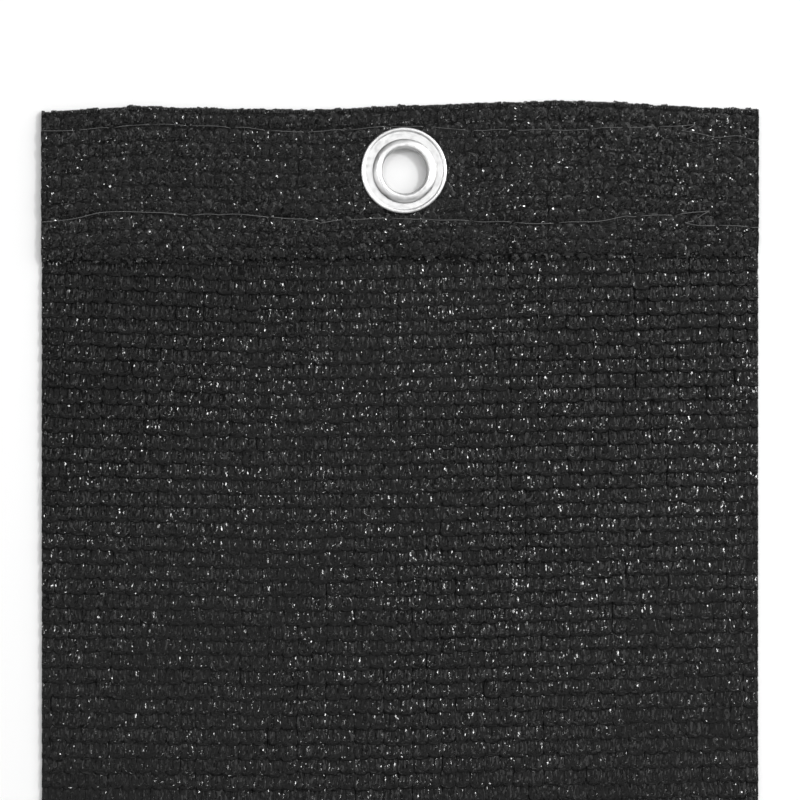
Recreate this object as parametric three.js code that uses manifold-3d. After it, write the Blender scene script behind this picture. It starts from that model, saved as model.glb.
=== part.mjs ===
// A cut length of knitted privacy screen, laid flat with its face up. The dark tape cloth has raised
// courses, its top is folded over to the front as a hem, and a metal eyelet goes through the hem.
// Millimetres. X runs along the hem, Y runs up to it, Z comes out of the face. The cloth lies on Z = 0.

import * as THREE from "three";
import { mergeVertices } from "three/addons/utils/BufferGeometryUtils.js";
import Module from "manifold-3d";

const wasm = await Module();
wasm.setup();

// The cut length
const WIDTH = 200;
const LENGTH = 240;
const TOP = LENGTH / 2;
const END = -LENGTH / 2;

// The knit: courses lie like roof tiles, and each is thickest just above its lower edge
const CLOTH = 1.15;
const COURSE_RIB = 0.5;
const COURSE_AT_HEM = 4.0;
const COURSE_AT_END = 4.25;
const COURSE_SHAPE = [
  { along: 0, rise: 0 },
  { along: 0.3, rise: 0.62 },
  { along: 0.72, rise: 1 },
  { along: 0.93, rise: 0.8 },
];
const PANEL_COLUMNS = 8;

// Slow waves, which keep the courses from lying dead straight and level
const SWAY = 0.45;
const RIPPLE = 0.14;
const SWAY_HELD = 8;

// The hem: a lower layer, a fold and a flap in front, a little apart
const LAYER_GAP = 0.3;
const FLAP_RIB = 0.3;
const FLAP_COURSES = 10;
const FLAP_SHAPE = [
  { along: 0, rise: 0.1 },
  { along: 0.12, rise: 1 },
  { along: 0.6, rise: 0.55 },
];
const SPLIT = 79.8;
const SPLIT_GAP = 0.3;
const LOWER_STEPS = 12;
const FOLD_STEPS = 6;
const HEM_COLUMN = 14;
const HEM_COLUMN_AT_EYELET = 3.25;

// The fold runs unevenly, some way below the top of the cut length
const FOLD_LINE = [
  { x: -100, below: 3.2 },
  { x: -83.7, below: 2.1 },
  { x: -72, below: 1.25 },
  { x: -55.8, below: 2.2 },
  { x: -38.5, below: 2.4 },
  { x: -21.8, below: 2.5 },
  { x: 0, below: 1.4 },
  { x: 14, below: 0.85 },
  { x: 33.5, below: 0.3 },
  { x: 46.3, below: 0 },
  { x: 58.6, below: 0.15 },
  { x: 72.6, below: 1.4 },
  { x: 83.7, below: 1.8 },
  { x: 100, below: 2.5 },
];

// The cut edge of the flap, below the top of the cut length
const FLAP_LINE = [
  { x: -100, below: 44.2 },
  { x: -62, below: 43.9 },
  { x: -20, below: 43.5 },
  { x: 22, below: 43.6 },
  { x: 60, below: 42.7 },
  { x: 100, below: 42.5 },
];

// The eyelet: a barrel that flares into a flange at the back and curls over a washer at the front
const EYELET_X = 1.1;
const EYELET_Y = 100.5;
const METAL = 0.45;
const ROUND_STEPS = 40;
const BARREL_STEPS = 18;
const BARREL_LINE = [
  { r: 11.78, z: 0.5 },
  { r: 10.6, z: 0.27 },
  { r: 9.4, z: 0.225 },
  { r: 8.2, z: 0.24 },
  { r: 7.25, z: 0.36 },
  { r: 6.76, z: 0.75 },
  { r: 6.625, z: 1.4 },
  { r: 6.625, z: 2.8 },
  { r: 6.68, z: 3.4 },
  { r: 7.05, z: 3.85 },
  { r: 7.65, z: 3.98 },
  { r: 8.25, z: 3.82 },
  { r: 8.58, z: 3.5 },
];
const WASHER_LINE = [
  { r: 7.3, z: 2.65 },
  { r: 11.7, z: 2.65 },
  { r: 12.0, z: 2.82 },
  { r: 12.0, z: 2.98 },
  { r: 11.8, z: 3.24 },
  { r: 11.45, z: 3.33 },
  { r: 11.1, z: 3.22 },
  { r: 10.5, z: 3.04 },
  { r: 9.4, z: 2.98 },
  { r: 7.3, z: 2.98 },
];

// The cloth is squeezed around the eyelet, and its hole clears the barrel
const HOLE_RADIUS = 7.4;
const SQUEEZE_FULL = 13.2;
const SQUEEZE_END = 18.5;
const SQUEEZED_BOTTOM = 1.05;
const SQUEEZED_TOP = 2.35;
const SQUEEZED_GAP = 0.16;

const CLOTH_FINISH = { color: 0x26282b, roughness: 0.6, metalness: 0 };
const METAL_FINISH = { color: 0xc4c6c9, roughness: 0.25, metalness: 1 };

const { lerp, mapLinear, smoothstep } = THREE.MathUtils;

// How far a line lies below the top at a place along X, straight between the table's rows.
function below(table, x) {
  const next = Math.max(1, table.findIndex((row) => row.x >= x));
  const left = table[next - 1];
  const right = table[next];
  return mapLinear(x, left.x, right.x, left.below, right.below);
}

// A closed solid through equal rings of points. The cap's triangles count points of the first ring.
function loft(rings, capTriangles) {
  const count = rings[0].length;
  const last = (rings.length - 1) * count;
  const triangles = [];
  for (let start = 0; start < last; start += count) {
    for (let i = 0; i < count; i++) {
      const next = start + ((i + 1) % count);
      triangles.push(start + i, next, next + count);
      triangles.push(start + i, next + count, start + i + count);
    }
  }
  for (const [a, b, c] of capTriangles) {
    triangles.push(a, c, b);
    triangles.push(last + a, last + b, last + c);
  }
  const geometry = new THREE.BufferGeometry().setFromPoints(rings.flat());
  geometry.setIndex(triangles);
  return geometry;
}

// The solid inside a closed geometry, for cutting.
function solidOf(geometry) {
  const bare = new THREE.BufferGeometry();
  bare.setAttribute("position", geometry.getAttribute("position"));
  bare.setIndex(geometry.getIndex());
  const merged = mergeVertices(bare);
  const mesh = new wasm.Mesh({
    numProp: 3,
    vertProperties: merged.getAttribute("position").array,
    triVerts: new Uint32Array(merged.getIndex().array),
  });
  return new wasm.Manifold(mesh);
}

function geometryOf(solid) {
  const mesh = solid.getMesh();
  const geometry = new THREE.BufferGeometry();
  geometry.setAttribute("position", new THREE.BufferAttribute(mesh.vertProperties, 3));
  geometry.setIndex(new THREE.BufferAttribute(mesh.triVerts, 1));
  return geometry;
}

function namedMesh(name, geometry, finish) {
  geometry.computeVertexNormals();
  const mesh = new THREE.Mesh(geometry, new THREE.MeshStandardMaterial(finish));
  mesh.name = name;
  return mesh;
}

// The single layer below the hem. Its top goes under the flap without ribs, and its back is flat.
function makePanel() {
  const firstCourse = TOP - FLAP_LINE[0].below - 1;
  const section = [{ y: SPLIT, rise: 0 }];
  let upper = firstCourse;
  while (upper > END) {
    const pitch = mapLinear(upper, firstCourse, END, COURSE_AT_HEM, COURSE_AT_END);
    for (const { along, rise } of COURSE_SHAPE) {
      const y = upper - along * pitch;
      if (y > END + pitch / 8) section.push({ y, rise });
    }
    upper -= pitch;
  }
  section.push({ y: END, rise: 0.5 });

  const ring = (x) => {
    const face = section.map(({ y, rise }) => {
      const free = Math.min(1, (SPLIT - y) / SWAY_HELD, (y - END) / SWAY_HELD);
      const sway = SWAY * free * Math.sin(x / 31 + y / 47);
      const ripple = RIPPLE * Math.sin(x / 23 - y / 37);
      return new THREE.Vector3(x, y + sway, CLOTH + rise * (COURSE_RIB + ripple));
    });
    return [...face, new THREE.Vector3(x, END, 0), new THREE.Vector3(x, SPLIT, 0)];
  };
  const rings = [];
  for (let i = 0; i <= PANEL_COLUMNS; i++) {
    rings.push(ring(WIDTH * (i / PANEL_COLUMNS - 0.5)));
  }
  const outline = rings[0].map((point) => new THREE.Vector2(point.y, point.z));
  return loft(rings, THREE.ShapeUtils.triangulateShape(outline, []));
}

// The hem in section at a place along X, from the lower layer's end, round the fold, to the cut edge
// of the flap. Each step pairs a point outside with one inside, so the section is a strip of cloth.
function hemSection(x) {
  const flapBottom = CLOTH + LAYER_GAP;
  const flapTop = flapBottom + CLOTH + FLAP_RIB;
  const foldRadius = flapTop / 2;
  const foldY = TOP - below(FOLD_LINE, x) - foldRadius;
  const cutY = TOP - below(FLAP_LINE, x);
  const squeezedMiddle = (SQUEEZED_BOTTOM + SQUEEZED_TOP) / 2;
  const squeeze = (y) => {
    const distance = Math.hypot(x - EYELET_X, y - EYELET_Y);
    return 1 - smoothstep(distance, SQUEEZE_FULL, SQUEEZE_END);
  };
  const steps = [];

  for (let i = 0; i < LOWER_STEPS; i++) {
    const y = lerp(SPLIT + SPLIT_GAP, foldY, i / LOWER_STEPS);
    const bottom = lerp(0, SQUEEZED_BOTTOM, squeeze(y));
    const top = lerp(CLOTH, squeezedMiddle - SQUEEZED_GAP / 2, squeeze(y));
    steps.push({ y, outside: bottom, inside: top });
  }
  for (let i = 0; i <= FOLD_STEPS; i++) {
    const angle = Math.PI * (i / FOLD_STEPS - 0.5);
    steps.push({
      y: foldY + foldRadius * Math.cos(angle),
      outside: foldRadius * (1 + Math.sin(angle)),
      insideY: foldY + (LAYER_GAP / 2) * Math.cos(angle),
      inside: CLOTH + (LAYER_GAP / 2) * (1 + Math.sin(angle)),
    });
  }
  for (let i = 0; i < FLAP_COURSES * FLAP_SHAPE.length; i++) {
    const { along, rise } = FLAP_SHAPE[i % FLAP_SHAPE.length];
    const course = Math.floor(i / FLAP_SHAPE.length) + along;
    const y = lerp(foldY - 1, cutY, course / FLAP_COURSES);
    const bottom = lerp(flapBottom, squeezedMiddle + SQUEEZED_GAP / 2, squeeze(y));
    const top = lerp(flapTop - FLAP_RIB * (1 - rise), SQUEEZED_TOP, squeeze(y));
    steps.push({ y, outside: top, inside: bottom });
  }
  steps.push({ y: cutY, outside: flapTop - FLAP_RIB, inside: flapBottom });

  const outside = steps.map((step) => new THREE.Vector3(x, step.y, step.outside));
  const inside = steps.map((step) => new THREE.Vector3(x, step.insideY ?? step.y, step.inside));
  return [...outside, ...inside.reverse()];
}

// Places along X where the hem's section is taken, closer together around the eyelet.
function hemPlaces() {
  const reach = 6 * HEM_COLUMN_AT_EYELET;
  const places = [];
  for (let x = EYELET_X - reach; x < EYELET_X + reach + 1; x += HEM_COLUMN_AT_EYELET) {
    places.push(x);
  }
  const room = HEM_COLUMN / 2;
  for (let x = places[0] - HEM_COLUMN; x > room - WIDTH / 2; x -= HEM_COLUMN) {
    places.unshift(x);
  }
  for (let x = places.at(-1) + HEM_COLUMN; x < WIDTH / 2 - room; x += HEM_COLUMN) {
    places.push(x);
  }
  return [-WIDTH / 2, ...places, WIDTH / 2];
}

// The folded hem, with the eyelet's hole cut through both layers.
function makeHem() {
  const rings = hemPlaces().map(hemSection);
  const count = rings[0].length;
  const strip = [];
  for (let i = 0; i < count / 2 - 1; i++) {
    const opposite = count - 1 - i;
    strip.push([i, i + 1, opposite - 1], [i, opposite - 1, opposite]);
  }
  const height = 10;
  const punch = new THREE.CylinderGeometry(HOLE_RADIUS, HOLE_RADIUS, height, ROUND_STEPS);
  punch.rotateX(Math.PI / 2).translate(EYELET_X, EYELET_Y, 0);
  return geometryOf(solidOf(loft(rings, strip)).subtract(solidOf(punch)));
}

// A ring turned about Z from a closed profile, centred on the eyelet.
function turned(profile) {
  const outline = [...profile, profile[0]].map(({ r, z }) => new THREE.Vector2(r, z));
  const ring = new THREE.LatheGeometry(outline, ROUND_STEPS);
  return ring.rotateX(Math.PI / 2).translate(EYELET_X, EYELET_Y, 0);
}

// Barrel, back flange and curled collar in one: sheet metal along a smooth line.
function makeEyelet() {
  const line = new THREE.SplineCurve(BARREL_LINE.map(({ r, z }) => new THREE.Vector2(r, z)));
  const cloth = [];
  const bore = [];
  for (let i = 0; i <= BARREL_STEPS; i++) {
    const point = line.getPoint(i / BARREL_STEPS);
    const along = line.getTangent(i / BARREL_STEPS).multiplyScalar(METAL / 2);
    cloth.push({ r: point.x + along.y, z: point.y - along.x });
    bore.unshift({ r: point.x - along.y, z: point.y + along.x });
  }
  return turned([...cloth, ...bore]);
}

const group = new THREE.Group();
group.add(namedMesh("panel", makePanel(), CLOTH_FINISH));
group.add(namedMesh("hem", makeHem(), CLOTH_FINISH));
group.add(namedMesh("eyelet", makeEyelet(), METAL_FINISH));
group.add(namedMesh("eyelet_washer", turned(WASHER_LINE), METAL_FINISH));

export default group;
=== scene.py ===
# Knitted privacy screen, a cut length lying face up: dark tape knit, a hem turned over to the front
# with two rows of clear thread, and one metal eyelet. Shape tables are in millimetres.
import math

import bpy
import numpy as np
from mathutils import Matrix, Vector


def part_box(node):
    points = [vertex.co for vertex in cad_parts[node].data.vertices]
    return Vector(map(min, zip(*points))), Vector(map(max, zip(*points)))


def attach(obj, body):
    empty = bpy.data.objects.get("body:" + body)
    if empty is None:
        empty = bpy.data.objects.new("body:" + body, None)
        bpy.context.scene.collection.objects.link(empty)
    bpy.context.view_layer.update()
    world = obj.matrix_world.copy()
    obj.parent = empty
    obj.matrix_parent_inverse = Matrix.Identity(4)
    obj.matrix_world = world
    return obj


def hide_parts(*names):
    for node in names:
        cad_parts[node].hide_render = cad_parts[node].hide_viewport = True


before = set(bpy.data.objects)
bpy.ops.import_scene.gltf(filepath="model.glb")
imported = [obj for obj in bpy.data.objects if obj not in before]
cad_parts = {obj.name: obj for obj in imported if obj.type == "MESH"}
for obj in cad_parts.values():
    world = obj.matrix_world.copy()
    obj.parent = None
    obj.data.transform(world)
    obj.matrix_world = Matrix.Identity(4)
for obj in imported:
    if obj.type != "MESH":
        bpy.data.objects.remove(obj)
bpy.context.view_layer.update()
mm = 0.001
print("frame loaded:", ", ".join(sorted(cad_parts)))


# Camera, light and floor

studio = {
    "lookAt": (0.0, 36.55, 1.6),  # straight down on this point of the cloth
    "cameraHeight": 550.0,
    "pictureWidth": 223.3,  # of the cloth's plane
    "sensor": 36.0,
    "worldColour": (1.0, 1.0, 1.0, 1.0),
    "worldStrength": 0.1,
    "floorSize": 12000.0,
    "floorColour": (0.93, 0.93, 0.93, 1.0),
    "floorRoughness": 0.9,
}

# every light's place, its width and height, and its power; all of them face the cloth
lamps = {
    "softbox": {"place": (1400.0, 735.0, 1280.0), "size": (2900.0, 2900.0), "watts": 50.0},
    "sparkRight": {"place": (740.0, 425.0, 1000.0), "size": (135.0, 135.0), "watts": 4.5},
    "sparkLeft": {"place": (-380.0, 330.0, 1200.0), "size": (80.0, 80.0), "watts": 1.7},
    "overhead": {"place": (-60.0, 60.0, 1500.0), "size": (1900.0, 900.0), "watts": 2.6},
    "cardWest": {"place": (-950.0, 0.0, 900.0), "size": (700.0, 900.0), "watts": 2.4},
    "cardNorth": {"place": (-100.0, 1250.0, 850.0), "size": (1400.0, 500.0), "watts": 1.3},
    "cardSouth": {"place": (100.0, -1150.0, 900.0), "size": (1400.0, 500.0), "watts": 2.2},
}


def makeCamera(scene, lookAt):
    cameraData = bpy.data.cameras.new("camera")
    cameraData.sensor_width = studio["sensor"]
    cameraData.lens = studio["sensor"] * studio["cameraHeight"] / studio["pictureWidth"]
    camera = bpy.data.objects.new("camera", cameraData)
    camera.location = (lookAt + [0, 0, studio["cameraHeight"]]) * mm
    scene.collection.objects.link(camera)
    scene.camera = camera


def makeWorld(scene):
    world = bpy.data.worlds.new("studio")
    world.use_nodes = True
    background = world.node_tree.nodes["Background"]
    background.inputs["Color"].default_value = studio["worldColour"]
    background.inputs["Strength"].default_value = studio["worldStrength"]
    scene.world = world


def makeLamp(scene, lookAt, name, lamp):
    lightData = bpy.data.lights.new(name, "AREA")
    lightData.shape = "RECTANGLE"
    lightData.size = lamp["size"][0] * mm
    lightData.size_y = lamp["size"][1] * mm
    lightData.energy = lamp["watts"]
    light = bpy.data.objects.new(name, lightData)
    place = np.array(lamp["place"])
    light.location = place * mm
    toCloth = Vector(lookAt - place)
    light.rotation_euler = toCloth.to_track_quat("-Z", "Y").to_euler()
    light.visible_camera = False
    scene.collection.objects.link(light)


def makeFloor(scene):
    half = studio["floorSize"] * mm / 2
    corners = [(-half, -half, 0), (half, -half, 0), (half, half, 0), (-half, half, 0)]
    floorMesh = bpy.data.meshes.new("floor")
    floorMesh.from_pydata(corners, [], [(0, 1, 2, 3)])
    floor = bpy.data.objects.new("floor", floorMesh)
    floorLook = bpy.data.materials.new("paleFloor")
    floorLook.use_nodes = True
    surface = floorLook.node_tree.nodes["Principled BSDF"]
    surface.inputs["Base Color"].default_value = studio["floorColour"]
    surface.inputs["Roughness"].default_value = studio["floorRoughness"]
    surface.inputs["Specular IOR Level"].default_value = 0.0
    floorMesh.materials.append(floorLook)
    scene.collection.objects.link(floor)


def makeStudio():
    scene = bpy.context.scene
    scene.view_settings.view_transform = "Standard"
    scene.view_settings.look = "None"
    lookAt = np.array(studio["lookAt"])
    makeCamera(scene, lookAt)
    makeWorld(scene)
    for name, lamp in lamps.items():
        makeLamp(scene, lookAt, name, lamp)
    makeFloor(scene)


makeStudio()
print("studio ready")


# Materials

def grey(value):
    return (value, value, value, 1.0)


# a node with its settings, then its inputs, each a plain value or another node's output
def addNode(material, kind, inputs=None, **settings):
    node = material.node_tree.nodes.new(kind)
    for name, value in settings.items():
        setattr(node, name, value)
    for name, value in (inputs or {}).items():
        if isinstance(value, bpy.types.NodeSocket):
            material.node_tree.links.new(value, node.inputs[name])
        else:
            node.inputs[name].default_value = value
    return node


def newMaterial(name, inputs):
    material = bpy.data.materials.new(name)
    material.use_nodes = True
    shader = material.node_tree.nodes["Principled BSDF"]
    for socket, value in inputs.items():
        shader.inputs[socket].default_value = value
    return material, shader


# spreads a value over a range of plain numbers; a noise mostly runs from 0.35 to 0.65
def ranged(material, value, low, high, fromLow=0.35, fromHigh=0.65):
    node = addNode(material, "ShaderNodeMapRange", {
        "Value": value, "From Min": fromLow, "From Max": fromHigh,
        "To Min": low, "To Max": high})
    return node.outputs["Result"]


tapeLook = {
    "dark": grey(0.004),
    "light": grey(0.01),
    "mottle": 1300.0,  # per metre, of dark and light places
    "specular": 0.265,
    "gloss": (0.07, 0.13),  # roughness of a shiny facet
    "dull": 0.8,  # and of a dull one
    "shiny": (0.42, 0.72),  # share of shiny facets in smooth and in crumpled places
    "facets": (3.0, 1.3, 1.0),  # per mm across and along the tape
    "facetDepth": 0.3,
    "calm": (0.55, 1.1),  # share of the facets' depth in smooth and in crumpled places
    "patches": 45.0,  # per metre, of smooth and crumpled places
    "crumple": 1.1,  # per mm of tape, of soft dents
    "crumpleDepth": 0.08,
}


def makeTapeMaterial(name, look):
    material, shader = newMaterial(name, {"Specular IOR Level": look["specular"]})
    links = material.node_tree.links
    tape = addNode(material, "ShaderNodeUVMap", uv_map="tape")
    place = addNode(material, "ShaderNodeTexCoord")

    mottle = addNode(material, "ShaderNodeTexNoise", {
        "Vector": place.outputs["Object"], "Scale": look["mottle"], "Detail": 3.0})
    colour = addNode(material, "ShaderNodeMix", {
        "Factor": ranged(material, mottle.outputs["Fac"], 0.0, 1.0),
        "A": look["dark"], "B": look["light"]}, data_type="RGBA")
    links.new(colour.outputs["Result"], shader.inputs["Base Color"])

    # small flat facets with creases between them, as in crumpled film; each cell's colour,
    # less a middle grey, is the way its facet slants
    stretched = addNode(material, "ShaderNodeMapping", {
        "Vector": tape.outputs["UV"], "Scale": look["facets"]})
    cells = addNode(material, "ShaderNodeTexVoronoi", {
        "Vector": stretched.outputs["Vector"], "Scale": 1.0}, voronoi_dimensions="2D")
    inCell = addNode(material, "ShaderNodeVectorMath", {
        0: stretched.outputs["Vector"], 1: cells.outputs["Position"]}, operation="SUBTRACT")
    slant = addNode(material, "ShaderNodeVectorMath", {
        0: cells.outputs["Color"], 1: (0.5, 0.5, 0.5)}, operation="SUBTRACT")
    facet = addNode(material, "ShaderNodeVectorMath", {
        0: inCell.outputs["Vector"], 1: slant.outputs["Vector"]}, operation="DOT_PRODUCT")
    stir = addNode(material, "ShaderNodeTexNoise", {
        "Vector": place.outputs["Object"], "Scale": look["patches"], "Detail": 4.0,
        "Roughness": 0.65})
    relief = addNode(material, "ShaderNodeMath", {
        0: facet.outputs["Value"], 1: ranged(material, stir.outputs["Fac"], *look["calm"])},
        operation="MULTIPLY")
    crumple = addNode(material, "ShaderNodeTexNoise", {
        "Vector": tape.outputs["UV"], "Scale": look["crumple"], "Detail": 1.5})

    # by chance a facet is shiny or dull, and shiny more often in crumpled places
    chance = addNode(material, "ShaderNodeSeparateColor", {"Color": cells.outputs["Color"]})
    shiny = addNode(material, "ShaderNodeMath", {
        0: chance.outputs["Blue"], 1: ranged(material, stir.outputs["Fac"], *look["shiny"])},
        operation="LESS_THAN")
    finish = addNode(material, "ShaderNodeMix", {
        "Factor": shiny.outputs["Value"], "A": look["dull"],
        "B": ranged(material, crumple.outputs["Fac"], *look["gloss"])})
    links.new(finish.outputs["Result"], shader.inputs["Roughness"])

    fine = addNode(material, "ShaderNodeBump", {
        "Height": relief.outputs["Value"], "Distance": look["facetDepth"] * mm})
    both = addNode(material, "ShaderNodeBump", {
        "Height": crumple.outputs["Fac"], "Distance": look["crumpleDepth"] * mm,
        "Normal": fine.outputs["Normal"]})
    links.new(both.outputs["Normal"], shader.inputs["Normal"])
    return material


eyeletLook = {
    "colour": grey(0.76),
    # painted shade: the plate's colour down in the hole
    "bore": grey(0.28),
    "boreFade": 0.4,  # mm under the lip over which the painted shade comes in
    "gloss": (0.28, 0.48),  # roughness, from place to place
    "grain": 700.0,  # per metre
    "grainDepth": 0.004,
}


# plated metal, with painted shade under the height of a lip, down in the hole the barrel lines
def makeMetalMaterial(name, lip):
    material, shader = newMaterial(name, {"Metallic": 1.0})
    links = material.node_tree.links
    place = addNode(material, "ShaderNodeTexCoord")
    axes = addNode(material, "ShaderNodeSeparateXYZ", {"Vector": place.outputs["Object"]})
    # painted shade: below the lip the colour goes over to the shaded one
    shadeFrom = (lip - eyeletLook["boreFade"]) * mm
    colour = addNode(material, "ShaderNodeMix", {
        "Factor": ranged(material, axes.outputs["Z"], 0.0, 1.0, shadeFrom, lip * mm),
        "A": eyeletLook["bore"], "B": eyeletLook["colour"]}, data_type="RGBA")
    links.new(colour.outputs["Result"], shader.inputs["Base Color"])
    grain = addNode(material, "ShaderNodeTexNoise", {
        "Vector": place.outputs["Object"], "Scale": eyeletLook["grain"], "Detail": 4.0})
    links.new(ranged(material, grain.outputs["Fac"], *eyeletLook["gloss"]),
              shader.inputs["Roughness"])
    bump = addNode(material, "ShaderNodeBump", {
        "Height": grain.outputs["Fac"], "Distance": eyeletLook["grainDepth"] * mm})
    links.new(bump.outputs["Normal"], shader.inputs["Normal"])
    return material


threadLook = {
    "colour": grey(0.11),
    "shade": grey(0.066),  # and in darker places
    "clouds": 260.0,  # per metre, of the darker places
    "roughness": 0.3,
    "specular": 0.6,
}


def makeThreadMaterial():
    material, shader = newMaterial("clearThread", {
        "Roughness": threadLook["roughness"], "Specular IOR Level": threadLook["specular"]})
    place = addNode(material, "ShaderNodeTexCoord")
    cloud = addNode(material, "ShaderNodeTexNoise", {
        "Vector": place.outputs["Object"], "Scale": threadLook["clouds"]})
    colour = addNode(material, "ShaderNodeMix", {
        "Factor": ranged(material, cloud.outputs["Fac"], 0.0, 1.0),
        "A": threadLook["shade"], "B": threadLook["colour"]}, data_type="RGBA")
    material.node_tree.links.new(colour.outputs["Result"], shader.inputs["Base Color"])
    return material


# on the hem the tapes' backs are a little lighter and more crumpled
backLook = {**tapeLook, "dark": grey(0.0055), "light": grey(0.0125)}

tapeMaterial = makeTapeMaterial("tapeFace", tapeLook)
backMaterial = makeTapeMaterial("tapeBack", {
    **backLook, "specular": 0.34, "facets": (1.7, 2.4, 1.0), "facetDepth": 0.48,
    "shiny": (0.62, 0.88)})
laidMaterial = makeTapeMaterial("tapeLaid", {
    **backLook, "facets": (1.8, 1.4, 1.0), "facetDepth": 0.4, "shiny": (0.3, 0.55)})
groundMaterial = makeTapeMaterial("tapeGround", {
    **tapeLook, "dark": grey(0.008), "light": grey(0.015), "specular": 0.06})
# the barrel gets painted shade below its lip; the ring, at 0 mm, gets none
shadedBarrelMetal = makeMetalMaterial("nickelBarrelShaded", lip=3.75)
ringMetal = makeMetalMaterial("nickelRing", lip=0.0)
threadMaterial = makeThreadMaterial()
print("materials ready")


# Mesh helpers

def makePiece(name, points, quads, material, uv=None, smooth=True):
    mesh = bpy.data.meshes.new(name)
    mesh.from_pydata(points * mm, [], quads, shade_flat=not smooth)
    if uv is not None:
        layer = mesh.uv_layers.new(name="tape")
        layer.data.foreach_set("uv", uv[quads.ravel()].astype(np.float32).ravel())
    mesh.materials.append(material)
    piece = bpy.data.objects.new(name, mesh)
    bpy.context.scene.collection.objects.link(piece)
    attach(piece, "root")
    print(f"{name}: {len(quads)} faces")
    return piece


# the faces of a grid of points, row by row
def gridFaces(rows, columns):
    first = np.arange(rows - 1)[:, None] * columns + np.arange(columns - 1)
    first = first.ravel()
    return np.stack([first, first + 1, first + columns + 1, first + columns], axis=1)


# the faces of a tube, whose rings of points come row by row
def tubeFaces(rows, sides):
    start = np.arange(rows - 1)[:, None] * sides
    a = start + np.arange(sides)
    b = start + np.roll(np.arange(sides), -1)
    return np.stack([a, b, b + sides, a + sides], axis=-1).reshape(-1, 4)


# the same faces on many copies of a grid or tube
def copiedFaces(faces, copies, size):
    return (faces[None] + (np.arange(copies) * size)[:, None, None]).reshape(-1, faces.shape[1])


# turns all faces over if most of them look down
def facingUp(points, quads):
    a, b, c = points[quads[:, 0]], points[quads[:, 1]], points[quads[:, 2]]
    up = np.cross(b - a, c - b)[:, 2].sum()
    return quads if up > 0 else quads[:, ::-1]


def smoothstep(value, low, high):
    t = np.clip((value - low) / (high - low), 0, 1)
    return t * t * (3 - 2 * t)


def mix(a, b, share):
    return a + (b - a) * share


# The lie of the cloth, as the solids have it

panelLow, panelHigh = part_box("panel")
eyeletLow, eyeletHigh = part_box("eyelet")
cloth = {
    "halfWidth": panelHigh.x / mm,
    "end": panelLow.y / mm,
    "top": -panelLow.y / mm,  # the part's middle is at y = 0
    "firstCourse": 70.25,  # lower edge of the first whole course under the flap
    "course": (4.075, -0.0018),  # their pitch: at y = 0, and its change per mm
    "waleAtHem": 3.88,
    "waleAtEnd": 4.12,
    "groundBottom": 0.25,  # the ground's two faces, single layer
    "groundTop": 0.8,
    "flapBottom": 1.55,  # and in the flap
    "flapTop": 2.15,
    "turnedOver": 42.5,  # length of cloth in the flap
    "foldReach": 1.15,  # of the fold past its middle line
    "foldPress": 0.6,  # share of a stitch's height lost on the way round the fold
    "cutDrop": 0.3,  # of the flap's cut edge onto the panel
    "cutReach": 5.0,  # how far back from the edge the drop begins
    "hemCourse": 4.1,
    "ripple": 0.25,  # share by which the stitches' height comes and goes
    "rippleLength": (23.0, 37.0),
    "underFlap": (4.5, 7.0),  # above the first course, where stitches go flat under the flap
    "underShare": 0.55,  # share of their height that is left there
}

# how far the fold and the flap's cut edge lie below the top, at places along the hem
foldLine = [
    (-100, 3.2), (-83.7, 2.1), (-72, 1.25), (-55.8, 2.2), (-38.5, 2.4), (-21.8, 2.5), (0, 1.4),
    (14, 0.85), (33.5, 0.3), (46.3, 0.0), (58.6, 0.15), (72.6, 1.4), (83.7, 1.8), (100, 2.5)]
flapLine = [(-100, 44.2), (-62, 43.9), (-20, 43.5), (22, 43.6), (60, 42.7), (100, 42.5)]

# how far the courses lie above their height in the middle, at the hem and at the cut end
courseBend = [
    (-100, 1.5, -0.4), (-85, 1.1, -0.35), (-42, -0.56, -0.35), (0, 0.0, 0.0), (42, 1.35, 0.8),
    (84, 1.95, 1.7), (100, 2.1, 1.9)]

# the cloth is pressed between flange and washer around the eyelet
press = {
    "x": (eyeletLow.x + eyeletHigh.x) / 2 / mm,
    "y": (eyeletLow.y + eyeletHigh.y) / 2 / mm,
    "full": 12.6,  # pressed flat up to here from the eyelet's middle
    "end": 18.0,  # and not at all from here on
    "hole": 7.4,  # radius of the hole in the ground
    "stitchGap": 0.3,  # from the hole to the nearest stitch
    "stitchClear": 9.0,  # no stitch has its middle nearer than this
    "lowerBottom": 0.85,  # the ground's faces where it is pressed
    "lowerTop": 1.35,
    "flapBottom": 1.5,
    "flapTop": 2.2,
    "lift": 0.55,  # share of a stitch's height that is left
}


roundingShifts = (-5, -2.5, 0, 2.5, 5)  # a line's corners are rounded over this reach


def rounded(line, x):
    xs, ys = zip(*line)
    return np.mean([np.interp(x + shift, xs, ys) for shift in roundingShifts], axis=0)


def foldMiddle(x):
    return cloth["top"] - rounded(foldLine, x) - cloth["foldReach"]


def cutEdge(x):
    return cloth["top"] - rounded(flapLine, x)


# 1 where the eyelet presses the cloth, 0 away from it
def pressed(x, y):
    away = np.hypot(x - press["x"], y - press["y"])
    return 1 - smoothstep(away, press["full"], press["end"])


# y on the bent courses for y on straight ones
def bent(x, y):
    xs, atHem, atEnd = zip(*courseBend)
    down = np.clip((cloth["firstCourse"] - y) / (cloth["firstCourse"] - cloth["end"]), 0, 1)
    return y + mix(np.interp(x, xs, atHem), np.interp(x, xs, atEnd), down)


# depth of the seams' dents in the flap
def seamDent(x, y):
    dent = 0
    for seam in (upperSeam, lowerSeam):
        xs, ys, _ = zip(*sorted(seam["holes"]))
        dent = dent + seam["dent"] * np.exp(-((y - np.interp(x, xs, ys)) / seam["dentWidth"]) ** 2)
    return dent


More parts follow.
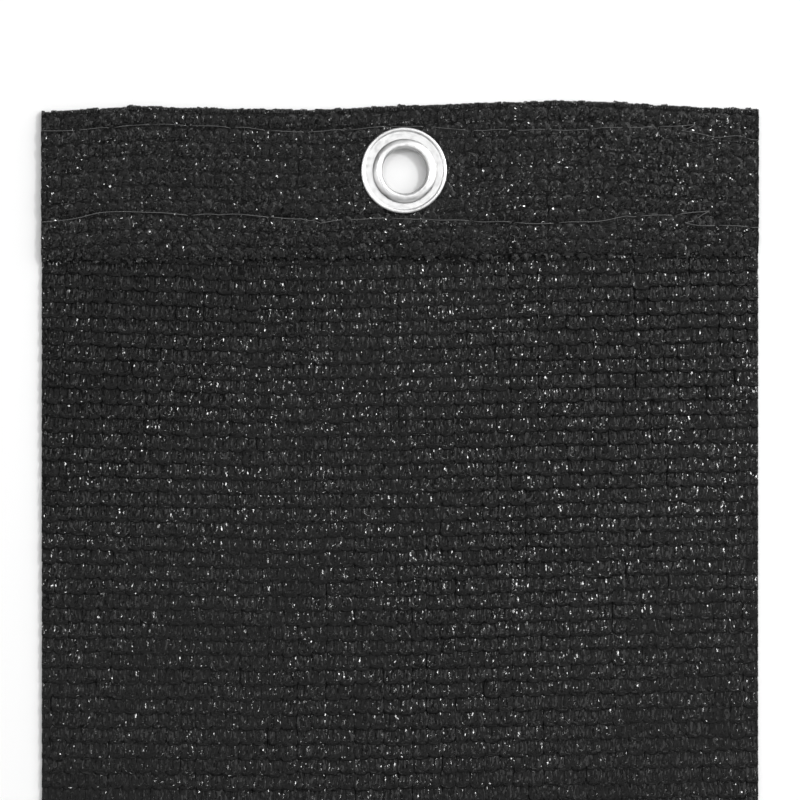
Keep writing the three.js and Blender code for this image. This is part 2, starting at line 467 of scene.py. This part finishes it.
# a point over the panel's ground, at a height above it
def panelPoint(x, y, height):
    flatFrom, flatTo = cloth["underFlap"]
    under = smoothstep(y, cloth["firstCourse"] + flatFrom, cloth["firstCourse"] + flatTo)
    acrossLength, alongLength = cloth["rippleLength"]
    ripple = 1 + cloth["ripple"] * np.sin(x / acrossLength - y / alongLength)
    z = cloth["groundTop"] + height * ripple * mix(1, cloth["underShare"], under)
    return np.stack([x, bent(x, y), z], axis=-1)


# the flap's cut edge lies down on the panel
def cutDrop(x, y):
    return cloth["cutDrop"] * (1 - smoothstep(y - cutEdge(x), 0, cloth["cutReach"]))


# a point over the hem's ground. Along is 0 where the fold ends on top, and grows down the flap.
# Under 0 it runs round the fold to the underside.
def hemPoint(x, along, height):
    middle = foldMiddle(x)
    radius = (cloth["flapTop"] - cloth["groundBottom"]) / 2
    centre = cloth["groundBottom"] + radius

    # after half a turn it runs straight back under the cloth
    angle = np.clip(-along / radius, 0, None)
    past = np.clip(angle - math.pi, 0, None) * radius
    angle = np.minimum(angle, math.pi)
    out = radius + height * (1 - cloth["foldPress"] * angle / math.pi)

    y = middle - np.clip(along, 0, None)
    share = pressed(x, y)
    top = mix(cloth["flapTop"], press["flapTop"], share) - seamDent(x, y) - cutDrop(x, y)
    onFlap = np.stack([x, y, top + height * mix(1, press["lift"], share)], axis=-1)
    onFold = np.stack([
        x, middle + out * np.sin(angle) - past, centre + out * np.cos(angle)], axis=-1)
    return np.where((along >= 0)[..., None], onFlap, onFold)


# Seams: clear thread, each row a list of its needle holes

upperSeam = {
    # x and y of a needle hole, and how much thread is out of sight there
    "holes": [
        (-101, 111.5, 0), (-90.3, 111.7, 1.4), (-80.2, 112.4, 1.9), (-69.4, 113.3, 0.7),
        (-59.2, 113.0, 1.9), (-46.8, 112.3, 0.9), (-36.7, 111.6, 1.9), (-25.9, 111.3, 0.7),
        (-14.5, 111.7, 1.7), (-3.3, 112.8, 2.2), (7.4, 112.8, 2.5), (19.5, 111.7, 1.7),
        (31.5, 111.8, 3.3), (41.0, 111.9, 0.6), (53.2, 112.0, 1.4), (62.8, 112.5, 0.6),
        (71.6, 112.7, 1.4), (82.3, 113.3, 0), (78.4, 111.6, 0), (87.6, 109.7, 0),
        (96.3, 109.7, 0.2), (101, 109.2, 0)],
    "dent": 0.22,
    "dentWidth": 1.3,
    "radius": 0.1,
}
lowerSeam = {
    "holes": [
        (-101, 86.0, 0), (-90.9, 87.0, 0), (-81.9, 88.9, 0), (-69.8, 88.8, 0),
        (-58.8, 88.0, 1.2), (-50.5, 88.1, 0), (-36.3, 87.5, 0.1), (-27.4, 87.0, 0),
        (-22.3, 85.8, 0), (-15.1, 86.8, 1.1), (-3.3, 87.3, 2.1), (7.7, 86.9, 0),
        (20.0, 86.4, 1.1), (31.6, 86.1, 0.4), (43.6, 85.8, 0.9), (53.9, 86.2, 0),
        (63.1, 87.8, 0), (66.2, 87.7, 0.7), (76.5, 88.0, 1.4), (86.2, 89.2, 0),
        (79.4, 85.9, 0), (88.4, 85.2, 0.2), (97.5, 84.7, 0.2), (101, 84.4, 0)],
    "dent": 0.3,
    "dentWidth": 1.5,
    "radius": 0.12,
}
thread = {
    "rise": 0.9,  # of a stitch's middle over the flap's ground
    "dive": -0.3,  # of its ends, where they go down a needle hole
    "sharp": 9,  # more for a sharper bend at the hole
    "trim": 0.15,  # share of the hidden length that is cut off
    "bow": 0.22,  # spread of a stitch's sideways bow
    "twist": 0.09,  # and of its sideways double bend
    "steps": 12,
    "sides": 6,
    "seed": 31,
}


# one short tube from each needle hole to the next
def makeSeam(name, seam):
    rng = np.random.default_rng(thread["seed"])
    stations = np.linspace(0, 1, thread["steps"] + 1)
    turn = np.arange(thread["sides"]) * 2 * math.pi / thread["sides"]
    rings = []
    for (*start, startGap), (*end, endGap) in zip(seam["holes"][:-1], seam["holes"][1:]):
        start, end = np.array(start), np.array(end)
        length = np.linalg.norm(end - start)
        ahead = (end - start) / length
        aside = np.array([-ahead[1], ahead[0]])
        bow = rng.normal(0, thread["bow"])
        twist = rng.normal(0, thread["twist"])
        reach = mix(thread["trim"] * startGap, length - thread["trim"] * endGap, stations)
        line = start + reach[:, None] * ahead
        curve = bow * np.sin(math.pi * stations) + twist * np.sin(2 * math.pi * stations)
        line = line + curve[:, None] * aside
        line[:, 0] = np.clip(line[:, 0], -cloth["halfWidth"], cloth["halfWidth"])
        ends = np.where(stations < 0.5, startGap > 0, endGap > 0)
        arch = 1 - ends * np.abs(2 * stations - 1) ** thread["sharp"]
        height = mix(thread["dive"], thread["rise"], arch)
        along = foldMiddle(line[:, 0]) - line[:, 1]
        middle = hemPoint(line[:, 0], along, height)
        across = seam["radius"] * np.cos(turn)[:, None] * np.append(aside, 0)
        upward = seam["radius"] * np.sin(turn)[:, None] * np.array([0, 0, 1])
        rings.append(middle[:, None] + across + upward)
    rings = np.array(rings)
    count, rows, sides = rings.shape[:3]
    quads = copiedFaces(tubeFaces(rows, sides), count, rows * sides)
    return makePiece(name, rings.reshape(-1, 3), quads, threadMaterial)


# The ground: one closed sheet from the cut end, round the fold, to the flap's cut edge

ground = {
    "columns": 152,
    "panelSteps": 174,
    "foldSteps": 8,
    "flapSteps": 30,
    "backRelief": 0.24,  # height of the bumps on the underside
    "backWale": 3.96,  # their pitch across
    "backCourse": 4.1,  # and along the cloth
    "backLow": 0.35,  # share of the height that a bump starts with
}


# bumps of the knit's back, 0 to 1
def backBumps(x, y):
    wale = 0.5 + 0.5 * np.cos(2 * math.pi * x / ground["backWale"])
    course = (y / ground["backCourse"]) % 1
    return wale * mix(ground["backLow"], 1, course)


# the sheet's back and front faces, as two grids of points
def groundFaces():
    x = np.linspace(-cloth["halfWidth"], cloth["halfWidth"], ground["columns"] + 1)[:, None]
    share = np.linspace(0, 1, ground["panelSteps"] + 1)[None, :-1]
    y = mix(cloth["end"], foldMiddle(x), share)
    flat = np.zeros_like(y)
    tight = pressed(x, y)
    low = cloth["groundBottom"] - ground["backRelief"] * backBumps(x, y) * (1 - tight)
    back = [np.stack([x + flat, y, mix(low, press["lowerBottom"], tight)], axis=-1)]
    front = [np.stack([x + flat, y, mix(cloth["groundTop"], press["lowerTop"], tight)], axis=-1)]

    radius = (cloth["flapTop"] - cloth["groundBottom"]) / 2
    turn = np.linspace(math.pi, 0, ground["foldSteps"] + 1)[None, :-1]
    back.append(hemPoint(x + 0 * turn, -turn * radius + 0 * x, 0 * x * turn))

    # the inside of the fold turns a little sooner than the outside
    inner = (cloth["flapBottom"] - cloth["groundTop"]) / 2
    innerMiddle = cloth["groundTop"] + inner
    innerFold = foldMiddle(x) - radius / 3
    front.append(np.stack([
        x + 0 * turn, innerFold + inner * np.sin(turn),
        innerMiddle + inner * np.cos(turn) + 0 * x], axis=-1))

    share = np.linspace(0, 1, ground["flapSteps"] + 1)[None, :]
    y = mix(foldMiddle(x), cutEdge(x), share)
    tight = pressed(x, y)
    back.append(hemPoint(x + 0 * y, foldMiddle(x) - y, 0 * y))
    front.append(np.stack([
        x + 0 * y, np.minimum(y, innerFold),
        mix(cloth["flapBottom"], press["flapBottom"], tight) - seamDent(x, y)
        - cutDrop(x, y)], axis=-1))
    return np.concatenate(back, axis=1), np.concatenate(front, axis=1)


# a closed solid between two equal grids, without the cells that are left out
def closedSheet(back, front, kept):
    rows, columns = back.shape[:2]
    count = rows * columns
    index = np.arange(count).reshape(rows, columns)
    a, b = index[:-1, :-1], index[:-1, 1:]
    c, d = index[1:, 1:], index[1:, :-1]
    cells = np.stack([a, b, c, d], axis=-1)
    faces = [cells[kept], cells[kept][:, ::-1] + count]
    padded = np.pad(kept, 1)
    sides = (
        (padded[:-2, 1:-1], a, b), (padded[2:, 1:-1], c, d),
        (padded[1:-1, :-2], d, a), (padded[1:-1, 2:], b, c))
    for neighbour, start, end in sides:
        rim = kept & ~neighbour
        faces.append(np.stack([
            end[rim], start[rim], start[rim] + count, end[rim] + count], axis=-1))
    points = np.concatenate([back.reshape(-1, 3), front.reshape(-1, 3)])
    faces = np.concatenate(faces)
    used, faces = np.unique(faces, return_inverse=True)
    return points[used], faces.reshape(-1, 4)


def makeGround():
    back, front = groundFaces()
    flatX, flatY = back[..., 0], back[..., 1]
    away = np.hypot(flatX - press["x"], flatY - press["y"])
    corners = [away[:-1, :-1], away[1:, :-1], away[:-1, 1:], away[1:, 1:]]
    kept = np.max(corners, axis=0) > press["hole"]

    # points inside the hole move out to its rim
    outward = np.maximum(press["hole"] / np.maximum(away, 0.01), 1)
    for face in (back, front):
        face[..., 0] = press["x"] + (face[..., 0] - press["x"]) * outward
        face[..., 1] = press["y"] + (face[..., 1] - press["y"]) * outward

    points, quads = closedSheet(back, front, kept)
    piece = makePiece("knit_ground", points, quads, groundMaterial, uv=points[:, :2])
    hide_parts("panel", "hem")
    return piece


# Stitches: each is a flat tape laid in a U, crumpled lengthways, that laps over the next course

faceStitch = {
    "legSteps": 6,
    "turnSteps": 8,
    "legHalf": 0.565,  # in wales
    "slit": 0.012,  # half the gap between a stitch's two legs, in wales
    "slitEnd": 0.05,  # in courses, how far the gap's end is rounded
    "neck": 0.89,  # share of the width at the root
    "neckEnd": 0.4,
    "root": -0.42,  # in courses, under the course above
    "riseEnd": 0.3,  # the tape has come up from there by this place
    "turnAt": 0.52,
    "lap": (0.1, 0.85),  # between these it climbs onto the next course
    "tip": 1.02,
    "across": (0.0, 0.2, 0.45, 0.7, 0.9, 1.0),
    "section": (0.17, 0.19, 0.2, 0.2, 0.19, 0.15),  # height across the tape
    "tipDrop": (0.05, 0.15, 0.3),  # of the three outer lines at the turn
    "dropEnd": 0.9,  # in courses, where the drop is full
    "square": 0.66,  # 1 for a round turn, less for a squarer one
    "base": 0.28,  # height of the tape over the ground
    "rootHeight": -0.38,  # and what is added to it at the root and at the tip
    "tipHeight": 0.42,
    "pleat": 0.035,  # spreads: of the pleats along the tape
    "crumple": 0.012,  # of each point's height
    "stray": 0.048,  # of a stitch's place and size
    "ragged": 0.03,  # of the tape's outer edge
    "turnDegrees": 4.0,
    "liftSpread": 0.07,
    "knots": 5,  # heights along a pleat
    "edgeShare": 0.3,  # share of the noise at the tape's outer edge
    "tapeWidth": 2.0,  # of the flat tape in mm, for its facets
    "tapeStep": 0.45,  # mm of tape from one step to the next
    "shuffle": 300.0,  # mm, so that no two stitches have the same facets
    "material": tapeMaterial,
    "seed": 11,
}


# one stitch's grid: place across in wales, place along in courses, height, and tape lengths
def stitchShape(look):
    # the tape's outer and inner edge: down one leg, round the turn and up the other leg
    down = np.linspace(look["root"], look["turnAt"], look["legSteps"] + 1)[:-1]
    turn = np.linspace(math.pi, 0, look["turnSteps"] + 1)
    sideways = np.sign(np.cos(turn)) * np.abs(np.cos(turn)) ** look["square"]
    downward = np.sin(turn) ** look["square"]
    outerA = np.concatenate([0 * down - look["legHalf"], look["legHalf"] * sideways,
                             0 * down + look["legHalf"]])
    outerB = np.concatenate([
        down, look["turnAt"] + (look["tip"] - look["turnAt"]) * downward, down[::-1]])
    innerA = np.concatenate([0 * down - look["slit"], look["slit"] * np.cos(turn),
                             0 * down + look["slit"]])
    innerB = np.concatenate([
        down, look["turnAt"] + look["slitEnd"] * np.sin(turn), down[::-1]])
    outerA = outerA * mix(look["neck"], 1, smoothstep(outerB, 0, look["neckEnd"]))

    # the lines between them, and their heights
    w = np.array(look["across"])
    a = mix(innerA[:, None], outerA[:, None], w)
    b = mix(innerB[:, None], outerB[:, None], w)
    rise = smoothstep(b, look["root"], look["riseEnd"])
    lap = smoothstep(b, *look["lap"])
    height = look["base"] + mix(look["rootHeight"], 0, rise) + look["tipHeight"] * lap
    drop = np.zeros(len(w))
    drop[-3:] = look["tipDrop"]
    dropping = smoothstep(b, look["turnAt"], look["dropEnd"])
    height = height + np.array(look["section"]) - drop * dropping
    length = np.arange(len(outerA)) * look["tapeStep"]
    return a, b, height, length


# height of each tape's pleats and crumpling; a pleat changes slowly along the tape
def tapeNoise(look, rng, count, steps, across):
    knots = look["knots"]
    at = np.linspace(0, knots - 1, steps)
    weights = np.maximum(0, 1 - np.abs(at[:, None] - np.arange(knots)))
    pleats = rng.normal(0, look["pleat"], (count, knots, across))
    pleats = np.einsum("sk,ckm->csm", weights, pleats)
    return pleats + rng.normal(0, look["crumple"], (count, steps, across))


# places on the flat tape, for its facets
def tapePlaces(look, rng, count, length):
    places = np.zeros((count, len(length), len(look["across"]), 2))
    places[..., 0] = np.array(look["across"]) * look["tapeWidth"]
    places[..., 1] = length[:, None]
    return (places + rng.uniform(0, look["shuffle"], (count, 1, 1, 2))).reshape(-1, 2)


# all the stitches at some places, as one mesh on a surface, where keep says they are wanted
def makeStitches(look, name, places, surface, keep):
    a, b, height, length = stitchShape(look)
    steps, across = a.shape
    count = len(places)
    rng = np.random.default_rng(look["seed"])
    x0, along0, wale, course, lift = places.T

    # along its outer edge a tape is ragged, and crumpled less
    noise = tapeNoise(look, rng, count, steps, across)
    edge = np.ones(across)
    edge[-1] = look["edgeShare"]
    outermost = (1 - edge) / (1 - look["edgeShare"])
    torn = rng.normal(0, look["ragged"], (count, steps, across)) * outermost

    # each stitch is turned, shifted and sized a little
    angle = np.radians(rng.normal(0, look["turnDegrees"], count))[:, None, None]
    strayA, strayB = rng.normal(0, look["stray"], (2, count))[..., None, None]
    size = 1 + rng.normal(0, look["stray"], count)[:, None, None]
    highs = lift * (1 + rng.normal(0, look["liftSpread"], count))
    turnedA = size * (a * np.cos(angle) - (b - 0.5) * np.sin(angle)) + strayA
    turnedB = 0.5 + size * (a * np.sin(angle) + (b - 0.5) * np.cos(angle)) + strayB + torn
    x = x0[:, None, None] + turnedA * wale[:, None, None]
    along = along0[:, None, None] - turnedB * course[:, None, None]
    tall = (height + noise * edge) * highs[:, None, None]

    points = surface(x, along, tall).reshape(-1, 3)
    quads = copiedFaces(gridFaces(steps, across), count, steps * across)
    quads = quads[keep(points)[quads].any(axis=1)]
    half = cloth["halfWidth"]
    points[:, 0] = np.clip(points[:, 0], -half, half)
    points[:, 1] = np.maximum(points[:, 1], cloth["end"])
    points[:, 2] = np.maximum(points[:, 2], 0.0)
    uv = tapePlaces(look, rng, count, length)
    used, packed = np.unique(quads, return_inverse=True)
    points, uv, quads = points[used], uv[used], packed.reshape(-1, 4)
    quads = facingUp(points, quads)
    return makePiece(name, points, quads, look["material"], uv, smooth=False)


# the pitch between wales spreads a little towards the cut end
def waleAt(y):
    down = (cloth["firstCourse"] - y) / (cloth["firstCourse"] - cloth["end"])
    return mix(cloth["waleAtHem"], cloth["waleAtEnd"], down)


# x of the wales' middles at a pitch, all shifted sideways
def walesAcross(pitch, shift):
    most = math.ceil(cloth["halfWidth"] / pitch) + 1
    wales = np.arange(-most, most + 1) * pitch + shift
    return wales[np.abs(wales) < cloth["halfWidth"] + pitch / 2]


faceKnit = {
    "bands": 4,  # the face is this many pieces, from the hem down
    "coursesUnder": 3,  # courses out of sight under the flap's edge
    "courseUnder": 3.94,  # their pitch
    "pastEnd": 2.0,  # the last course starts no lower than this past the cut end
    "waleShift": 0.35,  # of the middle wale, in wales
    "liftFrom": 5.0,  # above the first course, where the stitches are lower
    "lift": 0.75,  # and their share of the usual height
}


# each course's stitches: x, y, wale, course and share of the usual height
def facePlaces():
    rows = []
    y = cloth["firstCourse"] + faceKnit["coursesUnder"] * faceKnit["courseUnder"]
    while y > cloth["end"] - faceKnit["pastEnd"]:
        course = cloth["course"][0] + cloth["course"][1] * y
        wale = waleAt(y)
        x = walesAcross(wale, faceKnit["waleShift"] * wale)
        lift = faceKnit["lift"] if y > cloth["firstCourse"] + faceKnit["liftFrom"] else 1.0
        rows.append(np.stack([x, 0 * x + y, 0 * x + wale, 0 * x + course, 0 * x + lift], axis=1))
        y -= course
    return rows


# inside the cut edges
def insideCut(points):
    return (np.abs(points[:, 0]) < cloth["halfWidth"]) & (points[:, 1] > cloth["end"])


def makeFace():
    rows = facePlaces()
    bands = faceKnit["bands"]
    pieces = []
    for band in range(bands):
        share = rows[band * len(rows) // bands:(band + 1) * len(rows) // bands]
        look = {**faceStitch, "seed": faceStitch["seed"] + band}
        name = f"knit_face_{band + 1}"
        pieces.append(makeStitches(look, name, np.concatenate(share), panelPoint, insideCut))
    return pieces


# On the hem the knit's back shows: loops that point to the fold, and laid-in tapes across them

hemStitch = {
    **faceStitch,
    "turnAt": 0.25,
    "square": 0.75,
    "tip": 0.98,
    "rootHeight": -0.7,
    "tipHeight": 0.5,
    "base": 0.2,
    "section": (0.1, 0.11, 0.13, 0.13, 0.11, 0.09),
    "tipDrop": (0.06, 0.22, 0.46),
    "liftSpread": 0.18,
    "turnDegrees": 7.0,
    "pleat": 0.04,
    "material": backMaterial,
    "seed": 23,
}
hemKnit = {
    "courses": 12,
    "waleShift": 0.1,  # of the middle wale, in wales
    "foldLifts": (0.8, 2.1),  # shares of the usual height over the fold
    "stitchMiddle": 2.0,  # how far a stitch's middle is from its place
    "seed": 17,
}
cutWaves = ((0.45, 2.1, 0.0), (0.4, 5.3, 1.0), (0.4, 0.7, 0.0))  # height, rate and shift of each


# the hem's stitches, given as the face's are, but by their distance down from the fold
def hemPlaces():
    rows = []
    wale = cloth["waleAtHem"]
    rng = np.random.default_rng(hemKnit["seed"])
    for course in range(hemKnit["courses"]):
        # over the fold the tapes are bunched up: half as wide, and uneven
        width = wale / 2 if course == 0 else wale
        x = walesAcross(width, hemKnit["waleShift"] * wale)
        lifts = rng.uniform(*hemKnit["foldLifts"], len(x)) if course == 0 else 1.0
        rows.append(np.stack([
            x, 0 * x + course * cloth["hemCourse"], 0 * x + width,
            0 * x + cloth["hemCourse"], 0 * x + lifts], axis=1))
    places = np.concatenate(rows)
    y = foldMiddle(places[:, 0]) - places[:, 1] + hemKnit["stitchMiddle"]
    return places[np.hypot(places[:, 0] - press["x"], y - press["y"]) > press["stitchClear"]]


# above the flap's ragged cut edge, and not in the eyelet
def insideFlap(points):
    x, y = points[:, 0], points[:, 1]
    ragged = sum(high * np.sin(x * rate + shift) for high, rate, shift in cutWaves)
    hole = np.hypot(x - press["x"], y - press["y"]) > press["hole"] + press["stitchGap"]
    return (np.abs(x) < cloth["halfWidth"]) & (y > cutEdge(x) + ragged) & hole


# one lies over each course of the flap, save the first and the last
laidTape = {
    "halfWidth": 0.7,
    "at": -2.6,  # down the flap from the course's start
    "height": 0.5,
    "wave": 0.2,  # it rises over every wale
    "wander": 0.2,  # spread of its way up and down
    "wanderKnots": 45,
    "crumple": 0.04,
    "step": 0.5,
    "across": (-1.0, -0.35, 0.35, 1.0),
    "section": (-0.12, 0.05, 0.05, -0.12),
    "shuffle": 17.0,  # mm, so that no two tapes have the same facets
    "seed": 41,
}


def makeLaidTapes():
    rng = np.random.default_rng(laidTape["seed"])
    half = cloth["halfWidth"]
    x = np.arange(-half, half + 0.01, laidTape["step"])
    w = np.array(laidTape["across"])
    knots = np.linspace(-half, half, laidTape["wanderKnots"])
    points, uv = [], []
    phase = 2 * math.pi * (x / cloth["waleAtHem"] - hemKnit["waleShift"])
    for course in range(1, hemKnit["courses"] - 1):
        slow = np.interp(x, knots, rng.normal(0, laidTape["wander"], len(knots)))
        along = course * cloth["hemCourse"] + laidTape["at"] + slow
        wave = laidTape["height"] + laidTape["wave"] * np.cos(phase)
        noise = rng.normal(0, laidTape["crumple"], (len(x), len(w)))
        height = wave[:, None] + np.array(laidTape["section"]) + noise
        spread = along[:, None] + laidTape["halfWidth"] * w
        points.append(hemPoint(x[:, None] + 0 * w, spread, height))
        tapeLength = x[:, None] + course * laidTape["shuffle"]
        uv.append(np.stack([w + 0 * tapeLength, 0 * w + tapeLength], axis=-1))
    points = np.array(points)
    count, steps, across = points.shape[:3]
    quads = copiedFaces(gridFaces(steps, across), count, steps * across)
    points = points.reshape(-1, 3)
    quads = quads[insideFlap(points)[quads].all(axis=1)]
    uv = np.array(uv).reshape(-1, 2)
    return makePiece("hem_laid_tapes", points, facingUp(points, quads), laidMaterial, uv)


# The eyelet: lines that turn about its middle, as radius and height

barrelLine = [
    (11.78, 0.5), (10.6, 0.27), (9.4, 0.225), (8.2, 0.24), (7.25, 0.36), (6.62, 0.75),
    (6.48, 1.4), (6.42, 2.8), (6.45, 3.3), (6.62, 3.68), (7.05, 3.86), (7.7, 3.82), (8.3, 3.62),
    (8.8, 3.34)]
washerLine = [
    (7.3, 2.83), (8.6, 2.83), (9.6, 2.84), (10.3, 2.86), (10.8, 2.87), (11.0, 2.93), (11.14, 3.05),
    (11.45, 3.12), (11.72, 3.08), (11.86, 2.92)]
metal = {
    "sheet": 0.32,
    "around": 128,
    "detail": 6,  # steps from one point of a line to the next
    "edgeSteps": 6,  # round the sheet's edge
    "wobble": 0.035,  # of the curled collar, as hand presses leave it
    "wobbleWaves": ((1.0, 3, 0.7), (0.7, 5, 2.1), (0.5, 8, 0.0)),  # share, times round, shift
    "wobbleHeights": (2.6, 3.9),  # it grows between these
    "lean": (0.22, -0.22),  # of the collar from the flange's middle
    "leanHeights": (1.0, 3.4),
}


# a smooth line through the points, several steps to each
def smoothed(line, detail):
    line = np.array(line)
    ends = np.concatenate([[2 * line[0] - line[1]], line, [2 * line[-1] - line[-2]]])
    t = np.arange(detail)[:, None] / detail
    pieces = []
    for p, q, r, s in zip(ends[:-3], ends[1:-2], ends[2:-1], ends[3:]):
        pieces.append(0.5 * (2 * q + (r - p) * t + (2 * p - 5 * q + 4 * r - s) * t ** 2
                             + (3 * q - p - 3 * r + s) * t ** 3))
    return np.concatenate([*pieces, line[-1:]])


# sheet metal along a line, with its edges rounded over
def metalSection(line, thickness):
    middle = smoothed(line, metal["detail"])
    ahead = np.gradient(middle, axis=0)
    ahead = ahead / np.linalg.norm(ahead, axis=1)[:, None]
    aside = np.stack([ahead[:, 1], -ahead[:, 0]], axis=1) * thickness / 2
    rounds = np.linspace(-math.pi / 2, math.pi / 2, metal["edgeSteps"] + 1)[1:-1, None]
    farEnd = middle[-1] + np.cos(rounds) * ahead[-1] * thickness / 2 - np.sin(rounds) * aside[-1]
    nearEnd = middle[0] - np.cos(rounds) * ahead[0] * thickness / 2 + np.sin(rounds) * aside[0]
    return np.concatenate([middle + aside, farEnd, (middle - aside)[::-1], nearEnd])


# sheet metal turned about the eyelet's middle; only the barrel leans
def makeTurned(name, line, material, node):
    section = metalSection(line, metal["sheet"])
    angle = np.arange(metal["around"]) * 2 * math.pi / metal["around"]
    radius = section[:, 0] + 0 * angle[:, None]
    height = section[:, 1] + 0 * angle[:, None]
    upper = smoothstep(height, *metal["wobbleHeights"])
    wobble = sum(
        share * np.sin(times * angle + shift) for share, times, shift in metal["wobbleWaves"])
    radius = radius + metal["wobble"] * upper * wobble[:, None]
    lean = smoothstep(height, *metal["leanHeights"]) if node == "eyelet" else 0.0
    points = np.stack([
        press["x"] + radius * np.cos(angle)[:, None] + metal["lean"][0] * lean,
        press["y"] + radius * np.sin(angle)[:, None] + metal["lean"][1] * lean,
        np.maximum(height, 0.0)], axis=-1)
    around, sides = points.shape[:2]
    index = np.arange(around * sides).reshape(around, sides)
    turnedOn = np.roll(index, -1, axis=0)
    a, b = index, np.roll(index, -1, axis=1)
    c, d = np.roll(turnedOn, -1, axis=1), turnedOn
    quads = np.stack([a, b, c, d], axis=-1).reshape(-1, 4)[:, ::-1]
    piece = makePiece(name, points.reshape(-1, 3), quads, material)
    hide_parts(node)
    return piece


groundPiece = makeGround()
facePieces = makeFace()
hemPiece = makeStitches(hemStitch, "hem_reverse", hemPlaces(), hemPoint, insideFlap)
laidPiece = makeLaidTapes()
print("knit ready")

seamPieces = [makeSeam("seam_upper", upperSeam), makeSeam("seam_lower", lowerSeam)]
eyeletPieces = [
    makeTurned("eyelet_barrel", barrelLine, shadedBarrelMetal, "eyelet"),
    makeTurned("eyelet_ring", washerLine, ringMetal, "eyelet_washer"),
]
print("seams and eyelet ready")
